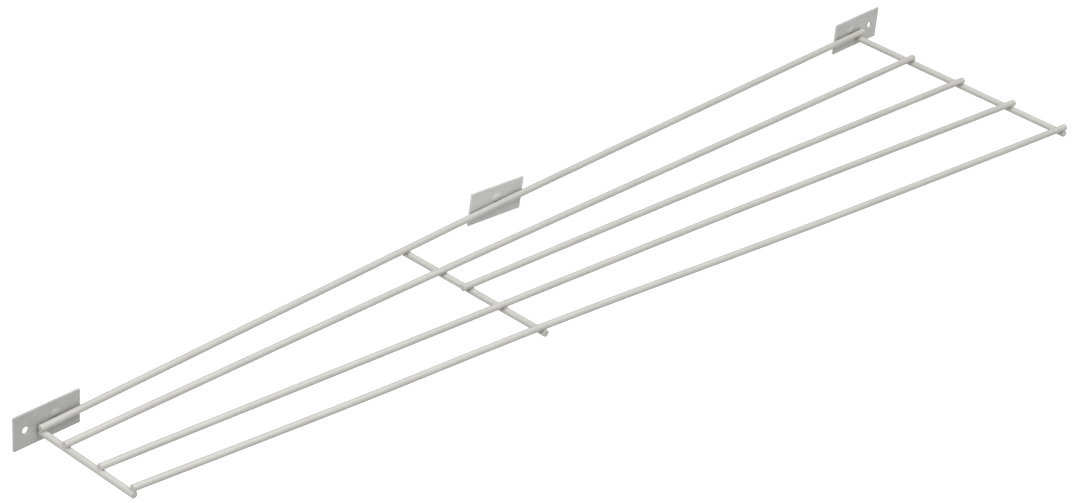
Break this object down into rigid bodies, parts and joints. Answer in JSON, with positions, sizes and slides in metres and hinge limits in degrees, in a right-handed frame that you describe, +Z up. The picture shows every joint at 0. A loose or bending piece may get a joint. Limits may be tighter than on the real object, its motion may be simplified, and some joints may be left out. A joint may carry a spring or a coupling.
{
  "type": "welded wire shelf grille",
  "caption": "Rigid coated wire grille, narrow at one end and wide at the other, with long wires welded over cross wires and flat fixing plates along its wall side.",
  "frame": {"origin": "centre of the middle plate's back face, where the grille meets the wall or frame", "axes": "+X along the grille from its narrow end to its wide end, +Y into the wall and square to the plates, +Z up, across the plates' height"},
  "size_m": [0.658, 0.1555, 0.0237],
  "materials": {
    "wire_coat": "smooth satin light grey coating over steel wire",
    "plate_coat": "the same coating on flat steel sheet, slightly uneven",
    "weld_coat": "the same coating drawn over welds"
  },
  "bodies": {
    "root": {"wall_wire": "wire_coat", "second_wire": "wire_coat", "third_wire": "wire_coat", "fourth_wire": "wire_coat", "front_wire": "wire_coat", "narrow_cross_wire": "wire_coat", "middle_cross_wire": "wire_coat", "wide_cross_wire": "wire_coat", "narrow_end_plate": "plate_coat", "middle_plate": "plate_coat", "wide_end_plate": "plate_coat", "narrow_wall_weld": "weld_coat", "narrow_second_weld": "weld_coat", "narrow_fourth_weld": "weld_coat", "narrow_front_weld": "weld_coat", "middle_wall_weld": "weld_coat", "middle_second_weld": "weld_coat", "middle_third_weld": "weld_coat", "middle_fourth_weld": "weld_coat", "middle_front_weld": "weld_coat", "wide_wall_weld": "weld_coat", "wide_second_weld": "weld_coat", "wide_third_weld": "weld_coat", "wide_fourth_weld": "weld_coat", "wide_front_weld": "weld_coat", "narrow_end_tack": "weld_coat", "middle_tack": "weld_coat", "wide_end_tack": "weld_coat"}
  },
  "joints": []
}
